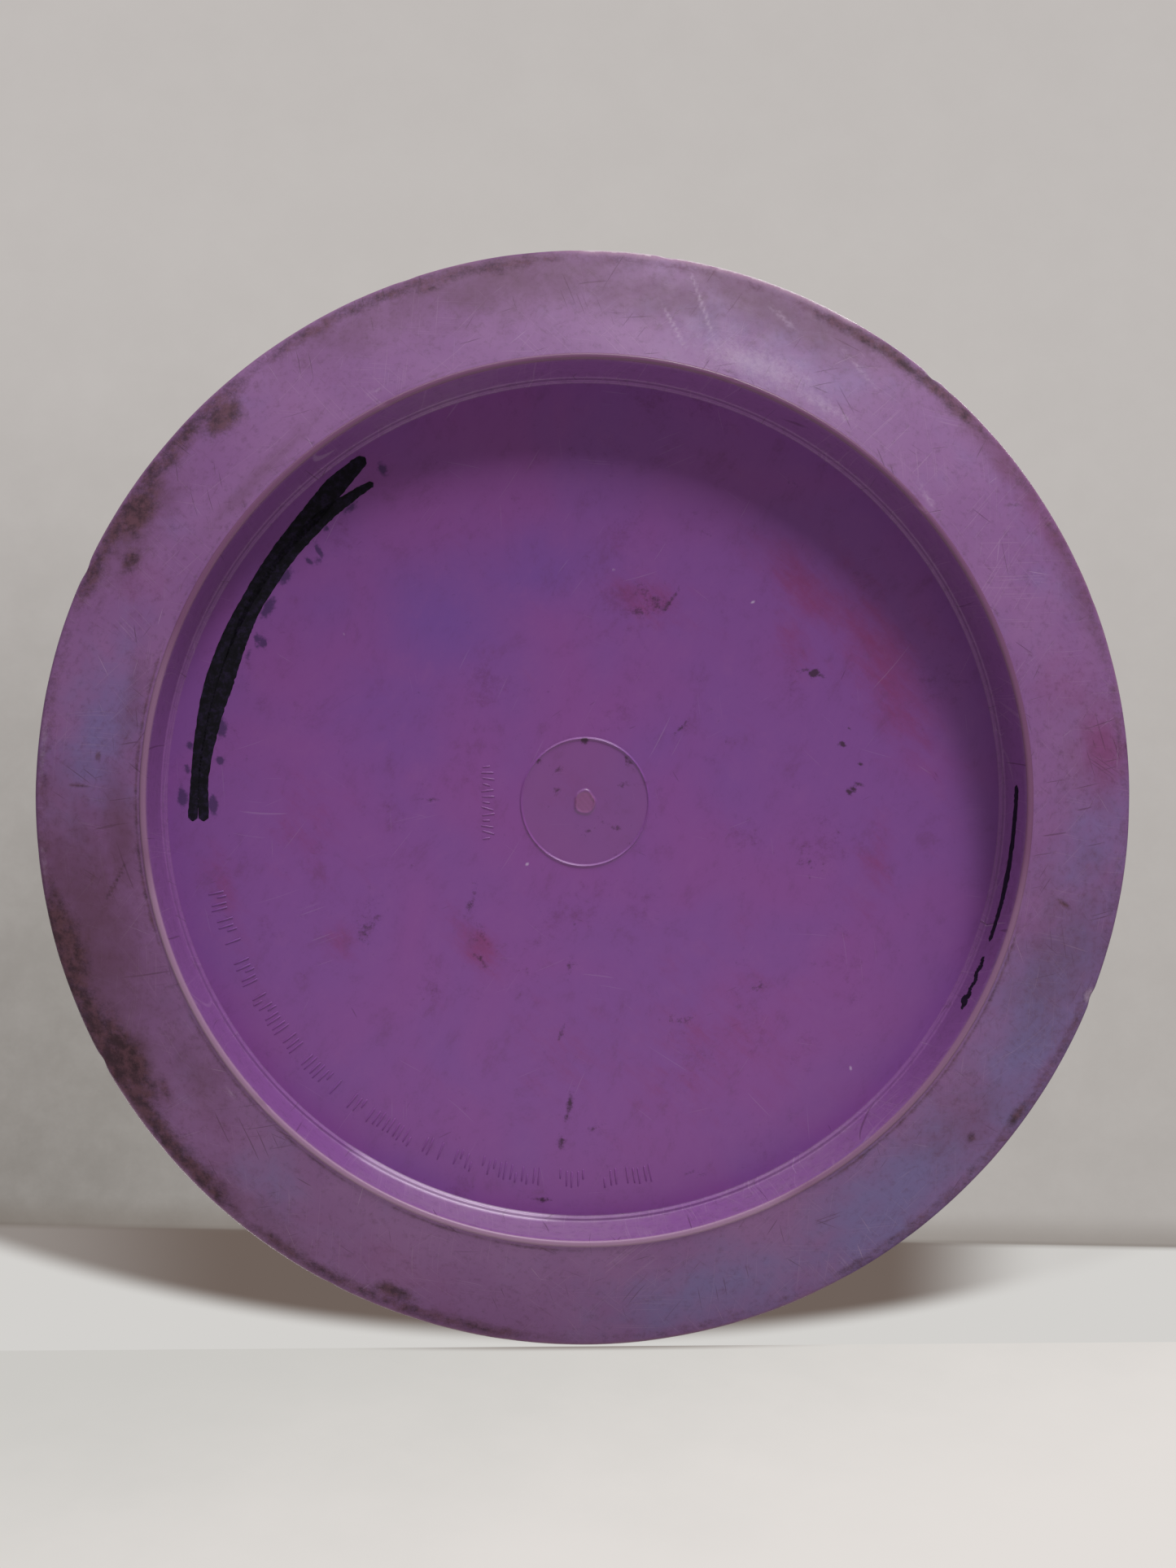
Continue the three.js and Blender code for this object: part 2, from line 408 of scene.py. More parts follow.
def wear_rim(piece):
    """Paints the rim's soil, scuffs and hues, marks its lip, wall, step and top, and paints
    highlights along the nose, the lip and the step.
    """
    x, y, z = places(piece)
    radius, angle = np.hypot(x, y), np.degrees(np.arctan2(y, x)) % 360
    under = z < NOSE_HEIGHT
    nose, crease = nose_dirt(radius, angle), crease_dirt(radius, angle, z)
    pale_nose_and_highlight = nose_rub_and_highlight(radius, angle, z)
    nose_over = 0.62 * bell(radius - DISC_RADIUS, 3.0)
    soil_under = np.maximum(spread(x, y, SOIL_UNDER), np.maximum(nose, crease)) * (1 - pale_nose_and_highlight)
    # The nose's pale rub and painted highlight, stored under the name edge.
    paint(piece, "edge", pale_nose_and_highlight)
    soil_over = np.maximum(spread(x, y, SOIL_OVER), nose_over)
    paint(piece, "soil", np.where(under, soil_under, soil_over))
    # Pale scuffs, with a painted highlight along the nose's edge on the lower side.
    paint(piece, "pale", np.where(under, spread(x, y, PALE_UNDER_AND_NOSE_HIGHLIGHT), spread(x, y, PALE_OVER)))
    grime_over = 0.6 * bell(radius - DISC_RADIUS, 7.0)
    paint(piece, "grime", np.where(under, spread(x, y, GRIME_UNDER), grime_over))
    paint(piece, "blue", spread(x, y, BLUE_UNDER) * under)
    paint(piece, "magenta", spread(x, y, MAGENTA_UNDER) * under)
    lip = np.clip((0.5 - z) / 0.2, 0, 1) * (radius < CREASE_RADIUS)
    paint(piece, "lip", lip)
    # The lip's pale arcs: wear, and a painted highlight on its lit side.
    paint(piece, "pale_lit_lip", lip * around(angle, PALE_LIT_LIP)[0])
    inner = (radius < MOUTH_RADIUS + 0.05) & (z > 0.5) & (z < RIM_DEPTH + 0.1)
    paint(piece, "inside", inner)
    # The step's mask is strongest on the glossy arc. It sets the step's gloss and a painted
    # highlight.
    gloss = 0.25 + 0.75 * around(angle, GLOSSY_HIGHLIT_STEP)[0]
    on_step = inner & (z > RIM_DEPTH - STEP_RISE - 1.2 * STEP_ROUND)
    paint(piece, "step", gloss * on_step)
    paint(piece, "dusty", inner * spread(x, y, WALL_DUST))
    above = np.clip((z - NOSE_HEIGHT) / 1.6, 0, 1)
    paint(piece, "top", above * (radius > JOINT_RADIUS - 1) * ~inner)
    paint(piece, "outward", (radius - JOINT_RADIUS) / (DISC_RADIUS - JOINT_RADIUS))


# ---- flight plate
def shaped_plate(radius, height, angle):
    """Raises the fine ring and the gate's scar on the underside, and leaves the top smooth."""
    below = height < (underside(radius) + topside(radius)) / 2
    ring = RING_HEIGHT * bell(radius - RING_RADIUS, RING_SPREAD)
    turn = np.radians(np.broadcast_to(angle, radius.shape))
    oval = 1 / np.hypot(np.cos(turn) / GATE_SHORT, np.sin(turn) / GATE_LONG)
    oval = oval * (1 + 0.05 * np.sin(3 * turn + 0.6) + 0.035 * np.sin(5 * turn + 2.0))
    lip = bell(radius - oval, 0.24) * (0.75 + 0.25 * np.sin(2 * turn + 1.2))
    floor = 0.45 / (1 + np.exp((radius - oval) / 0.08))
    grain = 0.12 * np.sin(5.1 * radius * np.cos(turn) + 1.0) * np.sin(4.3 * radius * np.sin(turn))
    scar = GATE_HEIGHT * (lip + floor * (1 + grain))
    return radius, height - np.where(below, ring + scar, 0)


# Marks on the plate, as spread() takes them.
SOIL_PLATE = [
    (330.5, 51.5, 0.8, 1, 20, 1.4), (332, 52.6, 0.7, 0.5, 0, 1), (329, 50.2, 0.5, 1.6, 10, 0.6),
    (347.3, 51.7, 0.6, 0.55, 0, 1.5), (357.5, 52.5, 0.45, 1.1, -35, 1.4),
    (356.2, 54, 0.4, 1.2, 20, 0.7), (352, 54.5, 0.5, 0.5, 0, 0.9),
    (344.5, 53.5, 0.4, 0.4, 0, 0.8), (288, 42, 4.2, 2.2, 30, 0.5), (286, 39, 2.4, 1.6, -20, 0.45),
    (293, 42.5, 0.5, 4, 10, 0.6), (128, 33.5, 4.6, 2.6, 20, 0.3), (138, 30, 4, 0.7, 60, 0.5),
    (124, 37, 4, 0.6, 15, 0.6), (95, 33, 1, 3.2, 8, 0.45), (96, 46, 0.5, 3, 20, 0.5),
    (93, 60, 0.7, 4, 5, 0.65), (94, 67, 0.8, 2, -20, 0.7), (88, 64, 5, 0.4, -18, 0.5),
    (66, 47, 4, 1.2, 25, 0.4), (70, 57, 3, 0.8, -15, 0.35), (47, 50, 3, 1, 30, 0.3),
    (15, 45, 2, 3.4, 10, 0.28), (8, 50, 2, 1.2, 0, 0.3), (150, 49, 4.6, 2, 40, 0.4),
    (181, 31, 0.4, 3.6, 2, 0.45), (322, 24, 2.2, 0.35, 80, 0.6), (270, 12.2, 0.9, 0.5, 0, 0.9),
    (230, 8.6, 1.4, 0.8, 0, 0.55), (222, 12, 0.8, 0.6, 0, 0.6), (205, 6, 1, 0.8, 0, 0.6),
    (315, 11.8, 1.6, 0.5, 0, 0.8), (335, 8.4, 0.8, 1.8, 0, 0.5), (40, 7.6, 2.8, 0.7, 60, 0.5),
    (85, 5.4, 1.6, 0.7, 0, 0.45), (60, 12, 0.5, 0.6, 0, 0.3), (95, 24, 0.6, 0.6, 0, 0.7),
    (303, 74, 2, 0.8, 0, 0.4), (96, 78.5, 3, 0.6, 0, 0.6), (74, 76, 4, 0.5, 15, 0.5),
    (118, 70, 3, 0.5, 20, 0.35),
]
GHOST_INK = [
    (231.5, 73, 1.8, 0.8, 0, 0.7), (226.5, 73.2, 0.6, 0.9, 0, 0.8),
    (223.4, 71.2, 0.5, 1.5, 15, 1), (222.2, 70, 1.1, 0.5, 0, 0.9),
    (221.2, 71, 0.5, 1.2, -10, 0.9), (217, 72.8, 2, 0.8, 0, 0.9), (211.6, 72.2, 2.4, 1, 0, 0.9),
    (206.6, 71, 0.8, 0.8, 0, 1), (206.2, 69.8, 1.4, 0.5, 30, 1), (203.6, 71.6, 1.8, 0.5, 0, 0.6),
    (191.5, 72, 2, 0.9, 0, 0.9), (186.6, 71.4, 0.8, 0.9, 0, 1), (179.6, 72.4, 2, 0.9, 0, 1),
    (180.8, 78.3, 1.9, 0.9, 0, 1), (184.8, 77.5, 0.7, 0.7, 0, 0.9),
    (188.2, 77.5, 0.7, 0.7, 0, 0.9), (238.6, 75.6, 0.9, 1.4, 0, 0.8),
]
BLUE_PLATE = [
    (256, 46, 15, 10, 0, 1), (232, 46, 18, 16, 0, 0.9), (205, 42, 16, 18, 0, 0.75),
    (215, 62, 14, 8, 0, 0.6), (330, 20, 12, 12, 0, 0.35), (355, 26, 14, 12, 0, 0.4),
    (122, 66, 14, 12, 0, 0.3), (20, 30, 10, 8, 0, 0.25), (60, 50, 6, 4, 0, 0.3),
]
MAGENTA_PLATE = [
    (336, 64, 20, 6.5, 0, 0.85), (316, 60, 14, 5, 0, 0.8), (322, 52, 8, 4, 30, 0.6),
    (12, 58, 11, 4, 0, 0.5), (125, 34.5, 4.4, 2.6, 10, 1), (128, 36, 7, 2.6, 20, 0.8),
    (150, 55, 4, 3, 0, 0.5), (288, 41, 9, 5, 0, 0.6), (65, 52, 22, 16, 0, 0.35),
    (165, 72, 12, 3, 0, 0.5), (225, 5, 5, 6, 0, 0.4), (96, 50, 10, 12, 0, 0.35),
    (175, 56, 10, 8, 0, 0.35),
]
SPECKS = [
    (215, 57, 0.35, 0.35, 0, 1), (277, 45.5, 0.4, 0.4, 0, 1), (310, 51, 0.4, 0.35, 0, 0.9),
    (133, 16.5, 0.4, 0.35, 0, 0.9), (45, 74, 0.35, 0.35, 0, 0.8), (25, 48, 0.3, 0.3, 0, 0.7),
]


def wear_plate(piece):
    """Paints the plate's soil, faded ink and hue drifts, and light wear on its top."""
    x, y, z = places(piece)
    radius = np.hypot(x, y)
    under = z < (underside(radius) + topside(radius)) / 2
    paint(piece, "soil", np.where(under, spread(x, y, SOIL_PLATE), spread(x, y, SOIL_OVER)))
    paint(piece, "pale", np.where(under, spread(x, y, SPECKS), spread(x, y, PALE_OVER)))
    paint(piece, "blue", spread(x, y, BLUE_PLATE) * under)
    paint(piece, "magenta", spread(x, y, MAGENTA_PLATE) * under)
    paint(piece, "ghost", np.where(under, spread(x, y, GHOST_INK), 0))
    paint(piece, "top", ~under)
    paint(piece, "centre", under * np.clip((RING_RADIUS - radius) / 0.5, 0, 1))
    paint(piece, "gate", under * np.clip((GATE_LONG - radius) / 0.4, 0, 1))


# ---- ink strokes
INK_PROUD = 0.03        # the ink's face stands this far off the plastic
INK_SUNK = 0.06         # and its back lies this far inside it
INK_STEPS = 14          # stretches between two points of a route
INK_LANES = 7           # points across a stroke
INK_BLUNT = 0.02        # keeps a stroke's ends from closing to a point


def rounded_path(points, steps):
    """A smooth curve through the points, with `steps` stretches between each two."""
    points = np.array(points, float)
    padded = np.vstack([2 * points[0] - points[1], points, 2 * points[-1] - points[-2]])
    t = np.linspace(0, 1, steps, endpoint=False)[:, None]
    pieces = []
    for a, b, c, d in zip(padded, padded[1:], padded[2:], padded[3:]):
        pieces.append(0.5 * (2 * b + (c - a) * t + (2 * a - 5 * b + 4 * c - d) * t**2
                             + (3 * b - a - 3 * c + d) * t**3))
    return np.vstack([*pieces, points[-1:]])


def on_plate(flat, lift):
    """Points given as x and y, on the plate's underside and `lift` below it."""
    height = underside(np.hypot(flat[:, 0], flat[:, 1])) - lift
    return np.column_stack([flat, height]) * MM


def on_wall(flat, lift):
    """Points given as length round the wall and height, on the inner wall and `lift` inside it."""
    turn = flat[:, 0] / WALL_RADIUS
    lean = (MOUTH_RADIUS - WALL_RADIUS) * (1 - flat[:, 1] / RIM_DEPTH)
    radius = WALL_RADIUS + lean - lift
    return np.column_stack([radius * np.cos(turn), radius * np.sin(turn), flat[:, 1]]) * MM


def polar(points):
    """x and y of points given as angle and radius."""
    return [radius * heading(angle) for angle, radius in points]


def unrolled(points):
    """Length round the wall and height, of points given as angle and height."""
    return [(math.radians(angle) * WALL_RADIUS, height) for angle, height in points]


def film_faces(count):
    """Faces of a closed film whose front, and then back, has INK_LANES rows of points."""
    faces = []
    offset = INK_LANES * count
    for lane in range(INK_LANES - 1):
        for step in range(count - 1):
            a, b = lane * count + step, lane * count + step + 1
            c, d = a + count, b + count
            faces.append((a, b, d, c))
            faces.append((offset + a, offset + c, offset + d, offset + b))
    for step in range(count - 1):
        a, b = step, step + 1
        faces.append((a, offset + a, offset + b, b))
        c, d = a + offset - count, b + offset - count
        faces.append((c, d, offset + d, offset + c))
    for lane in range(INK_LANES - 1):
        a, c = lane * count, (lane + 1) * count
        faces.append((a, c, offset + c, offset + a))
        b, d = a + count - 1, c + count - 1
        faces.append((b, offset + b, offset + d, d))
    return faces


def stroke(name, route, widths, surface, ragged, seed, material):
    """A thin closed film of ink along a route, with round ends and a slightly uneven edge."""
    line = rounded_path(route, INK_STEPS)
    count = len(line)
    ahead = np.gradient(line, axis=0)
    ahead /= np.linalg.norm(ahead, axis=1)[:, None]
    side = np.column_stack([-ahead[:, 1], ahead[:, 0]])
    share = np.linspace(0, 1, count)
    half = np.interp(share, np.linspace(0, 1, len(widths)), widths) / 2
    travelled = np.concatenate([[0], np.cumsum(np.linalg.norm(np.diff(line, axis=0), axis=1))])
    left = np.minimum(travelled, travelled[-1] - travelled)
    cap = np.sqrt(np.clip(1 - (1 - np.clip(left / half, 0, 1)) ** 2, INK_BLUNT, 1))
    rng = np.random.default_rng(seed)
    wobble = ragged * rng.standard_normal((count, 2))
    edge = {-1.0: wobble[:, 0], 1.0: wobble[:, 1]}
    grid = []
    for lane in np.linspace(-1, 1, INK_LANES):
        reach = lane * (half * cap + edge.get(lane, 0) * cap)
        grid.append(line + side * reach[:, None])
    front = np.vstack([surface(lane, INK_PROUD) for lane in grid])
    back = np.vstack([surface(lane, -INK_SUNK) for lane in grid])
    piece = mesh_object(name, np.vstack([front, back]), film_faces(count))
    piece.data.materials.append(material)
    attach(piece, "root")


def make_ink(material):
    outer = [(237.4, 79.2), (231.5, 78.0), (226.0, 76.9), (219.0, 76.7), (212.2, 76.3),
             (205.0, 76.3), (197.7, 76.2), (190.5, 75.9), (184.0, 75.9), (177.3, 76.4)]
    inner = [(236.4, 74.3), (231.5, 74.7), (226.5, 75.0), (219.0, 74.9), (210.4, 74.6),
             (204.5, 74.0), (198.8, 73.6), (191.5, 73.9), (184.0, 74.3), (177.2, 74.3)]
    stroke("ink_stroke_outer", polar(outer), [2.2, 4.0, 3.9, 2.7, 2.4, 2.5, 2.5, 2.1, 1.7, 1.9],
           on_plate, 0.04, 3, material)
    stroke("ink_stroke_inner", polar(inner), [1.2, 2.2, 2.9, 3.0, 2.9, 3.0, 3.1, 2.6, 1.9, 2.0],
           on_plate, 0.05, 4, material)
    line = [(-2.4, 5.2), (3.0, 6.1), (9.8, 6.6), (14.5, 6.6), (19.0, 6.8)]
    stroke("ink_wall_line", unrolled(line), [1.8, 2.0, 2.2, 1.9, 1.5], on_wall, 0.12, 5, material)
    scribble = [(21.2, 7.2), (22.4, 6.2), (23.4, 7.0), (24.6, 5.8), (25.8, 6.6), (26.8, 5.6),
                (27.4, 7.3), (28.0, 5.2), (28.6, 6.4)]
    stroke("ink_wall_scribble", unrolled(scribble), [1.2, 1.5, 1.3, 1.5, 1.2], on_wall, 0.16, 6,
           material)


# ---- raised marks
BAR_SIDES = 14
BAR_RINGS = 9
BAR_TIP = 0.03          # a bar's ends are this share of its full section
SCALE_RADIUS = 74.0     # the bars along the plate's edge are centred here
SCALE_START = 80.0      # they start at this angle
SCALE_GROUPS = (5, 3, 8, 2, 7, 4, 6, 3, 5)
BAR_PITCH = 1.75        # degrees from bar to bar
GROUP_GAP = 1.5         # and more between two groups


def bars(name, places_and_turns, length, width, height, material):
    """Low raised bars with round ends, in one piece, from (x, y, turn, share of length)."""
    sides, rings = BAR_SIDES, BAR_RINGS
    points, faces = [], []
    bend = np.linspace(0, math.pi, rings)
    ends = -np.cos(bend)
    for x, y, turn, share in places_and_turns:
        base = len(points)
        along, across = heading(turn), heading(turn + 90)
        centre_height = underside(math.hypot(x, y))
        straight = (length * share - width) / 2
        for end, angle in zip(ends, bend):
            shift = end * width / 2 + math.copysign(straight, end) * min(1, abs(end) * 6)
            size = max(math.sin(angle), BAR_TIP)
            for side in range(sides):
                roll = 2 * math.pi * side / sides
                u, v = math.cos(roll) * size * width / 2, math.sin(roll) * size * height
                place = np.array([x, y]) + along * shift + across * u
                points.append((place[0] * MM, place[1] * MM, (centre_height - v) * MM))
        for ring in range(rings - 1):
            for side in range(sides):
                a, b = base + ring * sides + side, base + ring * sides + (side + 1) % sides
                faces.append((a, a + sides, b + sides, b))
        faces.append(tuple(base + side for side in range(sides)))
        faces.append(tuple(base + (rings - 1) * sides + side for side in reversed(range(sides))))
    piece = mesh_object(name, points, faces)
    piece.data.materials.append(material)
    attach(piece, "root")


def make_raised_marks(material):
    """Plain bars in uneven groups, where the real disc has moulded writing."""
    rng = np.random.default_rng(11)
    scale = []
    angle = SCALE_START
    for group in SCALE_GROUPS:
        for _ in range(group):
            share = rng.choice([1.0, 0.9, 0.55])
            inward = SCALE_RADIUS + (1 - share) * 2 * rng.choice([-1, 1])
            scale.append((*(inward * heading(angle)), angle, share))
            if rng.random() < 0.6:
                beside = angle + 0.75
                scale.append((*(SCALE_RADIUS * heading(beside)), beside, 0.85))
            angle += BAR_PITCH
        angle += GROUP_GAP
    bars("moulded_scale", scale, 3.6, 0.36, 0.15, material)
    column = [(-19.3 + 0.2 * (step % 3), -7.0 + 1.17 * step, 8 * ((step % 4) - 1),
               1.0 if step % 3 else 0.62) for step in range(13)]
    bars("moulded_column", column, 2.5, 0.32, 0.12, material)


# ---- node helpers
class Graph:
    """A material's node tree, with the few nodes that the disc's plastics use."""

    def __init__(self, name):
        self.material = bpy.data.materials.new(name)
        self.material.use_nodes = True
        self.tree = self.material.node_tree
        self.shader = self.tree.nodes["Principled BSDF"]
        place = self.new("ShaderNodeTexCoord", {}).outputs["Object"]
        in_mm = self.new("ShaderNodeVectorMath", {0: place, "Scale": 1 / MM}, operation="SCALE")
        self.place = in_mm.outputs[0]

    def new(self, kind, values, **settings):
        """A new node with these settings, and with its inputs set or linked."""
        made = self.tree.nodes.new(kind)
        for name, value in settings.items():
            setattr(made, name, value)
        for name, value in values.items():
            self.put(made.inputs[name], value)
        return made

    def put(self, socket, value):
        if isinstance(value, bpy.types.NodeSocket):
            self.tree.links.new(value, socket)
        else:
            socket.default_value = value

    def turned(self, vector, size, turn=0.0, shift=0.0):
        """The vector turned round Z and moved, with one unit for each `size` (x, y, z)."""
        values = {"Vector": vector, "Rotation": (0, 0, math.radians(turn)), "Scale": size,
                  "Location": (shift, -shift, shift)}
        return self.new("ShaderNodeMapping", values, vector_type="TEXTURE").outputs[0]

    def bent(self, size, amount):
        """The place, pushed about by soft noise so that straight patterns bend."""
        values = {"Vector": self.place, "Scale": 1 / size, "Detail": 0}
        push = self.new("ShaderNodeTexNoise", values).outputs["Color"]
        values = {0: push, 1: (amount, amount, amount), 2: self.place}
        return self.new("ShaderNodeVectorMath", values, operation="MULTIPLY_ADD").outputs[0]

    def noise(self, size, detail=2.0, roughness=0.5, vector=None, warp=0.0):
        """Fractal noise with features about `size` millimetres wide."""
        values = {"Vector": vector or self.place, "Scale": 1 / size, "Detail": detail,
                  "Roughness": roughness, "Distortion": warp}
        return self.new("ShaderNodeTexNoise", values).outputs[0]

    def sum(self, *terms):
        """Weighted sum of (value, weight) pairs."""
        total = 0.0
        for value, weight in terms:
            values = {0: value, 1: weight, 2: total}
            total = self.new("ShaderNodeMath", values, operation="MULTIPLY_ADD").outputs[0]
        return total

    def maths(self, operation, a, b=0.0):
        return self.new("ShaderNodeMath", {0: a, 1: b}, operation=operation).outputs[0]

    def window(self, value, low, high, low_out=0.0, high_out=1.0):
        """Eases from low_out to high_out as the value goes from low to high."""
        values = {"Value": value, "From Min": low, "From Max": high,
                  "To Min": low_out, "To Max": high_out}
        made = self.new("ShaderNodeMapRange", values, interpolation_type="SMOOTHSTEP")
        return made.outputs[0]

    def mix(self, factor, a, b):
        """Colour a where the factor is 0, and b where it is 1."""
        return self.new("ShaderNodeMix", {0: factor, 6: a, 7: b}, data_type="RGBA").outputs[2]

    def tint(self, body, factor, share, colour):
        """The body, with this share of the colour where the factor is 1."""
        return self.mix(self.maths("MULTIPLY", factor, share), body, srgb(*colour))

    def stain(self, body, value, span, share, colour):
        """The body, easing to this share of the colour as the value crosses the span."""
        return self.mix(self.window(value, *span, 0.0, share), body, srgb(*colour))

    def broken(self, name, grain, weight, less):
        """What is painted under this name, broken up by noise and lowered by `less`."""
        return self.sum((self.painted(name), 1.0), (self.noise(*grain), weight), (less, -1.0))

    def painted(self, name):
        made = self.tree.nodes.new("ShaderNodeAttribute")
        made.attribute_name = name
        return made.outputs["Fac"]

    def scratches(self, place, turns, length, width, cut):
        """Sparse short scratches that run along each of the turns."""
        found = None
        for turn in turns:
            lines = self.noise(1, 0.0, 0.5, self.turned(place, (length, width, 30), turn, turn))
            patches = self.noise(17, 1.0, 0.5, self.turned(place, (1, 1, 1), 0, 3 * turn))
            thin = self.window(self.sum((lines, 1.0), (patches, 0.35)), cut, cut + 0.05)
            found = thin if found is None else self.maths("MAXIMUM", found, thin)
        return found

    def bump(self, height, strength, distance_mm):
        values = {"Strength": strength, "Distance": distance_mm * MM, "Height": height}
        return self.new("ShaderNodeBump", values).outputs[0]


def srgb(red, green, blue):
    """A colour given in 0 to 255 as seen, as the linear colour that a shader takes."""
    linear = [c / 255 / 12.92 if c < 10.3 else ((c / 255 + 0.055) / 1.055) ** 2.4
              for c in (red, green, blue)]
    return (*linear, 1.0)


# ---- materials
TOP_PURPLE = (134, 79, 150)
SCRATCH_BEND = (34, 9)          # scratches bend over this many mm, by up to this much


def worn_top(g, body, curved):
    """Scuffs and scratches over the disc's top. They run on from the plate to the rim."""
    top = g.painted("top")
    cloud = g.noise(40, 3.0, 0.6)
    body = g.stain(body, cloud, (0.4, 0.7), 0.5, (116, 76, 138))
    haze = g.noise(1, 5.0, 0.75, g.turned(curved, (7.0, 16.0, 8.0), 35))
    body = g.stain(body, haze, (0.5, 0.74), 0.45, (156, 112, 166))
    body = g.stain(body, haze, (0.46, 0.28), 0.4, (104, 62, 108))
    fine_lines = g.scratches(curved, (14, 49, 88, 131, 166), 22, 0.25, 0.92)
    deep_lines = g.scratches(curved, (28, 71, 119, 153), 12, 0.45, 0.99)
    rub = g.sum((g.painted("pale"), 0.9), (g.noise(1.3, 5.0, 0.75), 1.0),
                (g.noise(26, 2.0), 0.9), (0.85, -1.0))
    rubbed = g.window(rub, 0.1, 0.85)
    body = g.tint(body, fine_lines, 0.42, (182, 154, 190))
    body = g.tint(body, rubbed, 0.5, (170, 144, 182))
    body = g.tint(body, deep_lines, 0.65, (74, 44, 74))
    marks = g.maths("MAXIMUM", g.maths("MULTIPLY", fine_lines, 0.5), deep_lines)
    return body, g.maths("MULTIPLY", marks, top), g.maths("MULTIPLY", rubbed, top)


def rim_hues(g, inside):
    """The rim's purple with its drifts of hue, and the dusty inner wall."""
    cloud = g.noise(22, 3.0, 0.55)
    body = g.mix(g.window(cloud, 0.35, 0.65), srgb(134, 89, 144), srgb(141, 97, 150))
    drift = g.broken("blue", (9, 4.0, 0.65), 1.2, 0.6)
    body = g.stain(body, drift, (0.0, 1.15), 0.9, (117, 106, 160))
    flush = g.broken("magenta", (6, 4.0, 0.65), 0.9, 0.45)
    body = g.stain(body, flush, (0.1, 1.3), 1.0, (136, 70, 126))
    body = g.mix(inside, body, srgb(132, 82, 146))
    dust = g.broken("dusty", (2.5, 4.0, 0.7), 0.9, 0.45)
    return g.stain(body, dust, (0.1, 1.0), 0.7, (146, 116, 148))


def rim_smears(g, body, mottle, curved):
    """Fine mottle, and dull streaks that cross each other."""
    body = g.stain(body, mottle, (0.48, 0.8), 0.45, (92, 58, 92))
    smear = g.noise(1, 4.0, 0.75, g.turned(curved, (7.0, 1.1, 4.0), 38))
    cross = g.noise(1, 4.0, 0.75, g.turned(curved, (6.0, 0.9, 4.0), 120, 5))
    streaks = g.maths("MAXIMUM", smear, cross)
    return g.stain(body, streaks, (0.58, 0.82), 0.5, (92, 54, 84))


def rim_lines(g, body, curved):
    """Light, dark and hairline scratches."""
    light_lines = g.scratches(curved, (12, 58, 101, 149), 11, 0.3, 1.04)
    dark_lines = g.scratches(curved, (31, 77, 124, 168), 9, 0.35, 1.01)
    hair_lines = g.scratches(curved, (5, 44, 92, 137), 14, 0.2, 0.95)
    body = g.tint(body, light_lines, 0.4, (180, 152, 186))
    body = g.tint(body, hair_lines, 0.14, (190, 160, 190))
    body = g.tint(body, dark_lines, 0.48, (76, 44, 70))
    return body, light_lines, dark_lines, hair_lines


def rim_scuffs(g, body):
    """Grime in the plastic, and pale scuffs over it. On the nose's edge from 278 to 309 degrees,
    the pale is a painted highlight.
    """
    grime = g.broken("grime", (6, 5.0, 0.7), 0.9, 0.45)
    body = g.stain(body, grime, (0.0, 1.1), 0.78, (96, 60, 84))
    scuff_and_highlight = g.broken("pale", (1.1, 4.0, 0.75), 1.3, 0.65)
    scuffs_and_nose_highlight = g.window(scuff_and_highlight, 0.15, 1.15)
    body = g.tint(body, scuffs_and_nose_highlight, 0.6, (186, 164, 192))
    return body, grime, scuffs_and_nose_highlight


def rim_soil(g, body, lip, curved):
    """The rubbed lip with a painted highlight on its lit side, the stains, and the chipped pale
    nose with a painted highlight along its edge.
    """
    # The lip is paler on its lit arcs, partly from wear and partly as a painted highlight, and
    # darker elsewhere.
    rubbed_and_lit_lip = g.mix(g.painted("pale_lit_lip"), srgb(120, 78, 112), srgb(158, 122, 154))
    nibbled = g.window(g.sum((lip, 1.0), (g.noise(0.7, 4.0, 0.8), 0.9)), 0.75, 1.4, 0.0, 0.9)
    body = g.mix(nibbled, body, rubbed_and_lit_lip)
    soil = g.painted("soil")
    streak = g.noise(1, 3.0, 0.7, g.turned(curved, (5.5, 1.0, 3.0), 8))
    speck = g.sum((soil, 1.2), (g.noise(3.4, 6.0, 0.85), 1.6), (streak, 0.45),
                  (g.noise(0.45, 1.0), 0.2))
    soiled = g.window(speck, 1.3, 2.25)
    dirt = g.mix(g.window(g.noise(2.6, 5.0, 0.75), 0.38, 0.62),
                 srgb(96, 60, 72), srgb(50, 28, 35))
    body = g.mix(g.maths("MULTIPLY", soiled, 0.9), body, dirt)
    # The nose's pale rub, whitened where it is strongest into a painted highlight.
    edge = g.painted("edge")
    chipped_and_highlit = g.sum((edge, 1.0), (g.noise(2.5, 4.0, 0.8), 0.7), (0.35, -1.0))
    body = g.stain(body, chipped_and_highlit, (0.1, 0.9), 0.75, (160, 122, 150))
    body = g.stain(body, chipped_and_highlit, (0.68, 0.98), 0.75, (212, 200, 208))
    return body, soiled


